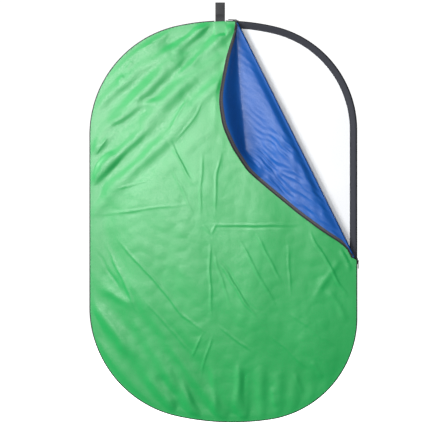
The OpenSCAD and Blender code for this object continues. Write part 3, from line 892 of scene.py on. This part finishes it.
FLAP_COLS = 110
shares = np.linspace(0, 1, FLAP_COLS)
skin_grid = flap_grid(FOLD_PS, shares)
skin_n = grid_normals(skin_grid)
if skin_n[len(FOLD_PS) // 2, FLAP_COLS // 2, 1] > 0:
    skin_n = -skin_n
skin_quads = grid_faces(*skin_grid.shape[:2])


def winding(quads, pts, normals):
    """Turns the faces so that they show along the normals."""
    q = quads[len(quads) // 2]
    a, b, c = pts[q[0]], pts[q[1]], pts[q[2]]
    return quads if np.dot(np.cross(b - a, c - a), normals[q[0]]) > 0 else quads[:, ::-1]


def flap_layer(name, base, thick, material, shown_out):
    flat_n = skin_n.reshape(-1, 3)
    lower = skin_grid.reshape(-1, 3) + flat_n * base
    upper = lower + flat_n * thick
    shown, other, facing = (upper, lower, flat_n) if shown_out else (lower, upper, -flat_n)
    quads = winding(skin_quads, shown, facing)
    v, f = closed_sheet(shown, quads, other - shown)
    return build(name, v, f, material)


flap_green = flap_layer("corner_panel_cloth", 0.0, CLOTH_T, GREEN, False)
flap_blue = flap_layer("corner_lining_cloth", CLOTH_T, CLOTH_T, BLUE, True)


def seam_grid(p, offsets):
    """Points at distances from the cloth's edge, the seam narrowing at the fold's ends."""
    span = free_cloth(p)[:, None]
    narrow = np.minimum(1.0, span / 2 / TAPE_W)
    off = np.asarray(offsets, float)[None, :]
    t = span + np.where(off < 0, off * narrow, off)
    steps = np.linspace(0, 1, 41)[None, :, None]
    path = t[:, None, :] * steps
    h = flap_height(p[:, None, None], path)
    du = np.sqrt(np.maximum(np.diff(path, axis=1) ** 2 - np.diff(h, axis=1) ** 2, 0))
    u = -ROLL_R - du.sum(axis=1)
    h_end = flap_height(p[:, None], t) + flap_crumple(p[:, None], t)
    return fold_point(p[:, None], u, h_end)


tape_ps = stations(FOLD_PS[0], FOLD_PS[-1], 3.0)
tape_pts = seam_grid(tape_ps, [-9.0, -7.5, -5, -2.5, 0.0, 2.0, TAPE_BARE + 0.4])
tape_n = grid_normals(tape_pts)
if tape_n[len(tape_ps) // 2, 3, 1] > 0:
    tape_n = -tape_n
tape_flat_n = tape_n.reshape(-1, 3)
tape_low = tape_pts.reshape(-1, 3) + tape_flat_n * 2 * CLOTH_T
tape_up = tape_low + tape_flat_n * TAPE_T
tape_quads = winding(grid_faces(*tape_pts.shape[:2]), tape_up, tape_flat_n)
v, f = closed_sheet(tape_up, tape_quads, tape_low - tape_up)
flap_tape = build("corner_zip_tape", v, f, FLAP_TAPE)
flap_tape.data.materials.append(TAPE)
# The corner's tape is grey where it is sewn, and black on its bare strip by the teeth.
centres = np.array([q.center[:] for q in flap_tape.data.polygons])
bare_line = to_row(tape_pts[:, 4] + np.array([0.0, -1.2, 0.0]))
nearest = tree_of(bare_line)
outer_way = tape_pts[:, 5] - tape_pts[:, 4]
dark = []
for q in centres:
    i = nearest.find(q)[1]
    dark.append(int(np.dot(q - bare_line[i], outer_way[i]) > -0.0006))
flap_tape.data.polygons.foreach_set("material_index", dark)

TOOTH = 2.4
coil_ps = stations(FOLD_PS[0], FOLD_PS[-1], TOOTH / 2)
coil_pts = seam_grid(coil_ps, [TAPE_BARE, TAPE_BARE + COIL_W])
coil_way = unit(coil_pts[:, 1] - coil_pts[:, 0])
coil_along = unit(np.gradient(coil_pts[:, 0], axis=0))
coil_up = np.cross(coil_along, coil_way)
coil_up *= np.where(coil_up[:, 1:2] > 0, -1, 1)
coil_mid = coil_pts.mean(axis=1) + coil_up * (2 * CLOTH_T + TAPE_T / 2)
teeth = 1 - 0.16 * (np.arange(len(coil_ps)) % 2)
section = ring(0, 0, COIL_W / 2, COIL_T / 2, 10, 0.7)
coil_ring = (coil_mid[:, None, :]
             + coil_way[:, None, :] * section[None, :, 0:1] * teeth[:, None, None]
             + coil_up[:, None, :] * section[None, :, 1:2] * teeth[:, None, None])
flap_coil = build("corner_zip_coil", coil_ring.reshape(-1, 3), tube_faces(*coil_ring.shape[:2]),
                  COIL, sharp=60)


def bezier(points, count):
    t = np.linspace(0, 1, count)[:, None]
    a, b, c, d = (np.asarray(q, float) for q in points)
    return ((1 - t) ** 3 * a + 3 * (1 - t) ** 2 * t * b + 3 * (1 - t) * t ** 2 * c + t ** 3 * d)


def gathered_zip(name, points, widths, thick):
    """The zip's tape bunched up where it turns from the rim into the fold."""
    path = bezier(points, 34)
    way = unit(np.gradient(path, axis=0))
    side = unit(np.cross(way, [0.0, -1.0, 0.0]))
    up = np.cross(side, way)
    t = np.linspace(0, 1, len(path))
    w = np.interp(t, [0, 0.5, 1], widths)
    a = np.linspace(0, 2 * math.pi, 28, endpoint=False)
    pleat = 1 + 0.16 * np.cos(5 * a)[None, :] * np.sin(9 * t)[:, None]
    pts = (path[:, None, :]
           + side[:, None, :] * (w[:, None] / 2 * np.cos(a)[None, :] * pleat)[..., None]
           + up[:, None, :] * (thick / 2 * np.sin(a)[None, :] * pleat)[..., None])
    piece = build(name, pts.reshape(-1, 3), tube_faces(*pts.shape[:2]), TAPE, sharp=60)
    mid = fold_point(np.array(FOLD_LEN / 2), np.array(0.0), np.array(0.0))
    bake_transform(piece)
    return piece


def edge_at(p):
    return coil_mid[np.argmin(np.abs(coil_ps - p))]


top_rim = beside(FOLD_TOP_S + 3, -1.6, -3.6)
side_rim = beside(FOLD_SIDE_S - 3, -1.6, -3.6)
gathered_zip("gathered_zip_top", [top_rim, top_rim + np.array([-3.0, -7.0, -3.0]),
                                  edge_at(14) + np.array([3.0, -1.0, 7.0]), edge_at(30)],
             (7.0, 9.0, 5.0), 3.0)
gathered_zip("gathered_zip_side", [side_rim, side_rim + np.array([-1.0, -8.0, 3.0]),
                                   edge_at(FOLD_LEN - 26) + np.array([7.0, -1.5, -5.0]),
                                   edge_at(FOLD_LEN - 44)],
             (7.0, 8.5, 5.0), 3.0)

# stitches that hold the tape to the corner
stitch_ps = stations(FOLD_PS[0] + 20, FOLD_PS[-1] - 30, 3.4)
corner_stitches = []
for tag, off in (("inner", -7.0), ("outer", -2.0)):
    line = seam_grid(stitch_ps, [off, off + 1.0])
    way = unit(np.gradient(line[:, 0], axis=0))
    up = unit(np.cross(way, line[:, 1] - line[:, 0]))
    up *= np.where(up[:, 1:2] > 0, -1, 1)
    v, f = thread_row(line[:, 0] + up * (2 * CLOTH_T + TAPE_T), way, up, 2.5, 0.55, 0.25)
    row = build(f"corner_stitches_{tag}", v, f, THREAD_DARK, sharp=70)
    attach(row, "flap")
    corner_stitches.append(row)

# ---------------------------------------------------------------- rim and zip

loop_s = np.arange(0, PERIMETER, PERIMETER / 620)


def ribbon_profile():
    outer_r, shoulder, inner_r = RIBBON_R, RIBBON_R - 4, RIBBON_R - 24.5
    outside = [(inner_r, -0.75), (inner_r + 7, -1.75), (shoulder - 8, -3.9), (shoulder, -5.45),
               (outer_r - 1.2, -5.6), (outer_r - 0.2, -5.1), (outer_r, -3.8), (outer_r, 3.8),
               (outer_r - 0.2, 5.1), (outer_r - 1.2, 5.6), (shoulder, 5.45), (shoulder - 8, 3.9),
               (inner_r + 7, 1.75), (inner_r, 0.75)]
    inside = [(inner_r, 0.25), (inner_r + 7, 1.25), (shoulder - 8, 3.4), (shoulder, 5.0),
              (outer_r - 0.5, 4.7), (outer_r - 0.5, -4.7), (shoulder, -5.0), (shoulder - 8, -3.4),
              (inner_r + 7, -1.25), (inner_r, -0.25)]
    return outside + inside


binding = sweep("rim_binding_ribbon", loop_s, ribbon_profile(), RIBBON, loop=True, sharp=50)
tape_section = [
    (CLOTH_R - TAPE_W, LINING_Y - TAPE_T), (CLOTH_R - TAPE_T - 0.8, LINING_Y - TAPE_T),
    (CLOTH_R - TAPE_T - 0.25, LINING_Y - TAPE_T - 0.2), (CLOTH_R - TAPE_T, LINING_Y - TAPE_T - 0.8),
    (CLOTH_R - TAPE_T, COIL_Y1), (CLOTH_R, COIL_Y1), (CLOTH_R, LINING_Y - 0.8),
    (CLOTH_R - 0.2, LINING_Y - 0.25), (CLOTH_R - 0.8, LINING_Y), (CLOTH_R - TAPE_W, LINING_Y)]
coil_section = ring(-COIL_T / 2, (COIL_Y0 + COIL_Y1) / 2, COIL_T / 2, COIL_W / 2, 10, 0.7)


def mirrored(section):
    return [(r, -y) for r, y in section][::-1]


CLOSED = [(FOLD_TOP_S + 1, ZIP_S1), (ZIP_S0, FOLD_SIDE_S + PERIMETER - 1)]
OPEN_BACK = [(ZIP_S0, ZIP_S1 + PERIMETER)]


def joined(name, parts):
    """One object from several made alike."""
    if len(parts) > 1:
        with bpy.context.temp_override(active_object=parts[0], selected_editable_objects=parts):
            bpy.ops.object.join()
    parts[0].name = name
    parts[0].data.name = name
    return parts[0]


def zip_run(name, spans, section_pts, material, pitch, toothed=False):
    parts = []
    for s0, s1 in spans:
        s = stations(s0, s1, pitch)
        swell = 1 - 0.16 * (np.arange(len(s)) % 2) if toothed else None
        parts.append(sweep(name, s, section_pts, material, swell=swell, sharp=60 if toothed else 40))
    return joined(name, parts)


tape_front = zip_run("zip_tape_front_cloth", CLOSED, mirrored(tape_section), TAPE, 6)
tape_back = zip_run("zip_tape_back_cloth", OPEN_BACK, tape_section, TAPE, 6)
coil_front = zip_run("zip_coil_front_teeth", CLOSED, mirrored(coil_section), COIL, TOOTH / 2, True)
coil_back = zip_run("zip_coil_back_teeth", OPEN_BACK, coil_section, COIL, TOOTH / 2, True)

# diffuser
DIFFUSER_PITCH, DIFFUSER_IN = 16.0, 8.3
diff_ring = beside(stations(0, PERIMETER, 12)[:-1], -DIFFUSER_IN, 0.0)[:, [0, 2]]
diff_flat, diff_faces = filled(diff_ring, DIFFUSER_PITCH, lambda q: inside_rim(q, 18.0))
diff_edge = rim_distance(diff_flat[:, 0], diff_flat[:, 1])
diff_wave = wave_field(120, 360, 8)
diff_y = -0.15 + 0.5 * diff_wave(diff_flat[:, 0], diff_flat[:, 1]) * smooth((diff_edge - 40) / 80)
diffuser = lay("diffuser_screen", diff_flat, diff_faces, diff_y, WHITE, CLOTH_T, -1)

# seams sewn round the covers' edges and the ribbon's inner edge
COVER_SEAM_R, RIBBON_SEAM_R, STITCH_PITCH = CLOTH_R - 6.5, RIBBON_R - 22.5, 3.4
rows_made = [
    ("seam_front", FOLD_TOP_S + 20, FOLD_SIDE_S + PERIMETER - 20, COVER_SEAM_R, -FACE_Y,
     THREAD_GREEN, -1),
    ("seam_back", 0, PERIMETER, COVER_SEAM_R, FACE_Y, THREAD_GREEN, 1),
    ("ribbon_seam_front", 0, PERIMETER, RIBBON_SEAM_R, -1.05, THREAD_DARK, -1),
    ("ribbon_seam_back", 0, PERIMETER, RIBBON_SEAM_R, 1.05, THREAD_DARK, 1),
]
for name, s0, s1, r, y, mat, face in rows_made:
    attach(rim_stitches(name, s0, s1, r, y, STITCH_PITCH, mat, face), "disc")

# ---------------------------------------------------------------- hanging strap

loop_lo, loop_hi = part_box("webbing_loop")
anchor_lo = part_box("strap_anchor")[0]
STRAP_W = (loop_hi.x - loop_lo.x) * 1000
STRAP_X = (loop_hi.x + loop_lo.x) * 500


def along_path(points, pitch):
    pts = np.array(points, float)
    seg = np.linalg.norm(np.diff(pts, axis=0), axis=1)
    d = np.concatenate([[0], np.cumsum(seg)])
    t = np.linspace(0, d[-1], int(d[-1] / pitch) + 1)
    return np.stack([np.interp(t, d, pts[:, k]) for k in range(2)], -1), t


def rounded_path(points, passes=3):
    """Corner cutting keeps the ends and rounds the rest."""
    pts = np.array(points, float)
    for _ in range(passes):
        a, b = pts[:-1], pts[1:]
        cut = np.stack([0.75 * a + 0.25 * b, 0.25 * a + 0.75 * b], 1).reshape(-1, 2)
        pts = np.vstack([pts[:1], cut[1:-1], pts[-1:]])
    return pts


def strip(name, path, width, thick, material, rib=1.6, rib_h=0.12, cup=None, cols=30):
    """A woven strap: path is its middle line [y, z] in the row frame, in mm."""
    line, t = along_path(path, rib / 4)
    way = unit(np.gradient(line, axis=0))
    normal = np.stack([-way[:, 1], way[:, 0]], -1)
    x = np.linspace(-0.5, 0.5, cols)
    edge = 1 - 0.55 * np.clip((np.abs(x) - 0.44) / 0.06, 0, 1) ** 2
    ribs = rib_h * np.cos(2 * math.pi * t / rib)[:, None] * np.clip((0.5 - np.abs(x)) / 0.05, 0, 1)[None, :]
    cross = 0.06 * np.cos(2 * math.pi * x * width / 2.6)[None, :]
    half = thick / 2 * edge[None, :] - 0.12 + ribs * 0.5 + cross
    bow = 0 if cup is None else cup(x[None, :], line[:, 1:2])
    faces_pts = []
    for sign in (1, -1):
        off = normal[:, None, :] * (sign * half)[..., None]
        y = line[:, None, 0] + off[..., 0] + bow
        z = line[:, None, 1] + off[..., 1]
        faces_pts.append(np.stack([np.broadcast_to(STRAP_X + x[None, :] * width, y.shape), y, z], -1))
    n_rows = len(line)
    quads = grid_faces(n_rows, cols)
    up, down = faces_pts[0].reshape(-1, 3), faces_pts[1].reshape(-1, 3)
    normals = np.concatenate([np.zeros((n_rows, 1)), normal], 1)
    flat_n = np.repeat(normals, cols, axis=0)
    quads = winding(quads, up, flat_n)
    v, f = closed_sheet(up, quads, down - up)
    return build(name, v, f, material, sharp=50, in_row=True)


top_z = loop_hi.z * 1000
low_z = loop_lo.z * 1000
y_out = 5.2
mid_top = top_z - 0.7
arc_pts = [(y_out * math.cos(a), mid_top - y_out + y_out * math.sin(a)) for a in np.linspace(math.pi, 0, 17)]
leg_y = 6.25
a_low = anchor_lo.z * 1000
leg_path = rounded_path([(-leg_y, a_low), (-leg_y, low_z - 8.5), (-1.3, low_z - 6.2), (-0.75, low_z - 4.2),
                         (-0.75, low_z + 8), (-y_out, low_z + 19), (-y_out, low_z + 26)], 3)
loop_path = np.vstack([leg_path, arc_pts, leg_path[::-1] * np.array([-1.0, 1.0])])


def cupping(x, z):
    """The loop's face bows out between its edges."""
    mid = np.clip((z - low_z - 12) / 14, 0, 1) * np.clip((top_z - 5 - z) / 10, 0, 1)
    return -1.1 * mid * (1 - 4 * x ** 2)


hang_loop = strip("hang_loop_webbing", loop_path, STRAP_W, 1.25, STRAP, cup=cupping)

# bar tack across the strap, above the disc's edge
tack_x = np.linspace(-STRAP_W / 2 + 3, STRAP_W / 2 - 3, 15)
for tag, z0, body in (("loop", low_z + 5.5, "hang_strap"), ("anchor", a_low + 9, "disc")):
    y0 = -1.5 if tag == "loop" else -leg_y - 0.6
    pts = []
    ways = []
    for k in range(3):
        for x in tack_x:
            pts.append((STRAP_X + x, y0, z0 + 1.4 * (k - 1)))
            ways.append((1.0, 0.0, 0.25 * (-1) ** k))
    pts, ways = np.array(pts), unit(np.array(ways))
    v, f = thread_row(pts, ways, np.tile([0.0, -1.0, 0.0], (len(pts), 1)), 2.6, 0.6, 0.3)
    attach(build(f"bar_tack_{tag}", v, f, THREAD_DARK, sharp=70, in_row=True), body)

# ---------------------------------------------------------------- CAD nodes that stay

KEPT = {
    "steel_hoop": STEEL, "hoop_splice": CRIMP, "splice_rivets": CRIMP, "zip_stops": PULL,
    "top_slider": SLIDER, "side_slider": SLIDER,
    "top_slider_bridge": BRIDGE, "side_slider_bridge": BRIDGE,
    "top_pull": PULL, "side_pull": PULL,
}
for node, mat in KEPT.items():
    mesh = NODES[node].data
    mesh.materials.clear()
    mesh.materials.append(mat)

# ---------------------------------------------------------------- bodies, and the CAD parts the pieces hide

RIDES = [
    (front_panel, "disc", "green_cloth", ["front_panel"]),
    (front_lining, "disc", "blue_cloth", ["front_lining"]),
    (back_panel, "disc", "green_cloth", ["back_panel"]),
    (back_lining, "disc", "blue_cloth", ["back_lining"]),
    (flap_green, "flap", "green_cloth", ["flap_panel"]),
    (flap_blue, "flap", "blue_cloth", ["flap_lining"]),
    (flap_tape, "flap", "zip_tape", ["flap_zip_tape"]),
    (flap_coil, "flap", "zip_coil", ["flap_zip_coil"]),
    (binding, "disc", "black_ribbon", ["rim_binding"]),
    (tape_front, "disc", "zip_tape", ["zip_tape_front"]),
    (tape_back, "disc", "zip_tape", ["zip_tape_back"]),
    (coil_front, "disc", "zip_coil", ["zip_coil_front"]),
    (coil_back, "disc", "zip_coil", ["zip_coil_back"]),
    (diffuser, "disc", "white_cloth", ["diffuser_cloth"]),
]
for piece, body, slot, nodes in RIDES:
    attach(piece, body)
    if nodes:
        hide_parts(*nodes)

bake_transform(hang_loop)
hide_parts("webbing_loop", "strap_anchor")

fold_mid = fold_point(np.array(FOLD_LEN / 2), np.array(0.0), np.array(0.0))
for piece, slot, node in ((fold_green, "green_cloth", "panel_fold"),
                          (fold_blue, "blue_cloth", "lining_fold")):
    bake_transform(piece)
    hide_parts(node)

# the loose corner's pieces each get a mesh of their own
for piece in (flap_green, flap_blue, flap_tape, flap_coil, *corner_stitches):
    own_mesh(piece)


def flat_area(ring_pts):
    x, z = ring_pts[:, 0] / 1000, ring_pts[:, -1] / 1000
    return abs(np.dot(x, np.roll(z, -1)) - np.dot(z, np.roll(x, -1))) / 2


front_area = flat_area(front_border(5.0))

# ---------------------------------------------------------------- stage, light, camera

FLOOR_GAP = 0.10
floor_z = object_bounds()[0].z - FLOOR_GAP
mesh = bpy.data.meshes.new("floor")
mesh.from_pydata([(-9, -9, floor_z), (9, -9, floor_z), (9, 9, floor_z), (-9, 9, floor_z)], [], [[0, 1, 2, 3]])
floor = bpy.data.objects.new("floor", mesh)
SCENE.collection.objects.link(floor)
floor_mat, tree, shader = new_material("pale_floor")
speck = noise(tree, place(tree), 3.0, 3.0)
tree.links.new(mix_colour(tree, speck, (0.94, 0.94, 0.95), (0.98, 0.98, 0.98)),
               shader.inputs["Base Color"])
shader.inputs["Roughness"].default_value = 0.9
shader.inputs["Emission Color"].default_value = (1, 1, 1, 1)
shader.inputs["Emission Strength"].default_value = 0.95
mesh.materials.append(floor_mat)
floor.visible_diffuse = False
floor.visible_glossy = False

world = bpy.data.worlds.new("studio")
SCENE.world = world
world.use_nodes = True
wt = world.node_tree
wt.nodes.clear()
out = wt.nodes.new("ShaderNodeOutputWorld")
seen, glow = wt.nodes.new("ShaderNodeBackground"), wt.nodes.new("ShaderNodeBackground")
seen.inputs["Color"].default_value = (1, 1, 1, 1)
seen.inputs["Strength"].default_value = 1.1
glow.inputs["Color"].default_value = (0.93, 0.96, 1.0, 1)
glow.inputs["Strength"].default_value = 0.07
path, chooser = wt.nodes.new("ShaderNodeLightPath"), wt.nodes.new("ShaderNodeMixShader")
wt.links.new(path.outputs["Is Camera Ray"], chooser.inputs[0])
wt.links.new(glow.outputs[0], chooser.inputs[1])
wt.links.new(seen.outputs[0], chooser.inputs[2])
wt.links.new(chooser.outputs[0], out.inputs[0])

MIDDLE = Vector(to_row(np.zeros(3)))


def soft_light(name, offset, size, energy, colour=(1, 1, 1)):
    data = bpy.data.lights.new(name, "AREA")
    data.shape = "RECTANGLE"
    data.size, data.size_y = size
    data.energy = energy
    data.color = colour
    lamp = bpy.data.objects.new(name, data)
    lamp.location = MIDDLE + Vector(offset)
    lamp.rotation_euler = (MIDDLE - lamp.location).to_track_quat("-Z", "Y").to_euler()
    lamp.visible_camera = False
    SCENE.collection.objects.link(lamp)


soft_light("key", (-5.6, -3.2, 2.8), (2.2, 2.2), 740)
soft_light("sheen", (-0.42, -2.6, 0.50), (0.8, 1.0), 38)
soft_light("back_wash", (-2.0, 4.4, 1.8), (2.6, 2.6), 190)

cam_data = bpy.data.cameras.new("camera")
camera = bpy.data.objects.new("camera", cam_data)
SCENE.collection.objects.link(camera)
SCENE.camera = camera
VIEW_W, FAR = 1.597, 6.0
cam_data.sensor_width = 36.0
cam_data.lens = 36.0 * FAR / VIEW_W
cam_data.clip_end = 60
camera.location = MIDDLE + Vector((-0.0349, -FAR, 0.0278))
camera.rotation_euler = (math.pi / 2, 0, 0)

SCENE.view_settings.view_transform = "Standard"
SCENE.view_settings.look = "None"
SCENE.view_settings.exposure = 0.0
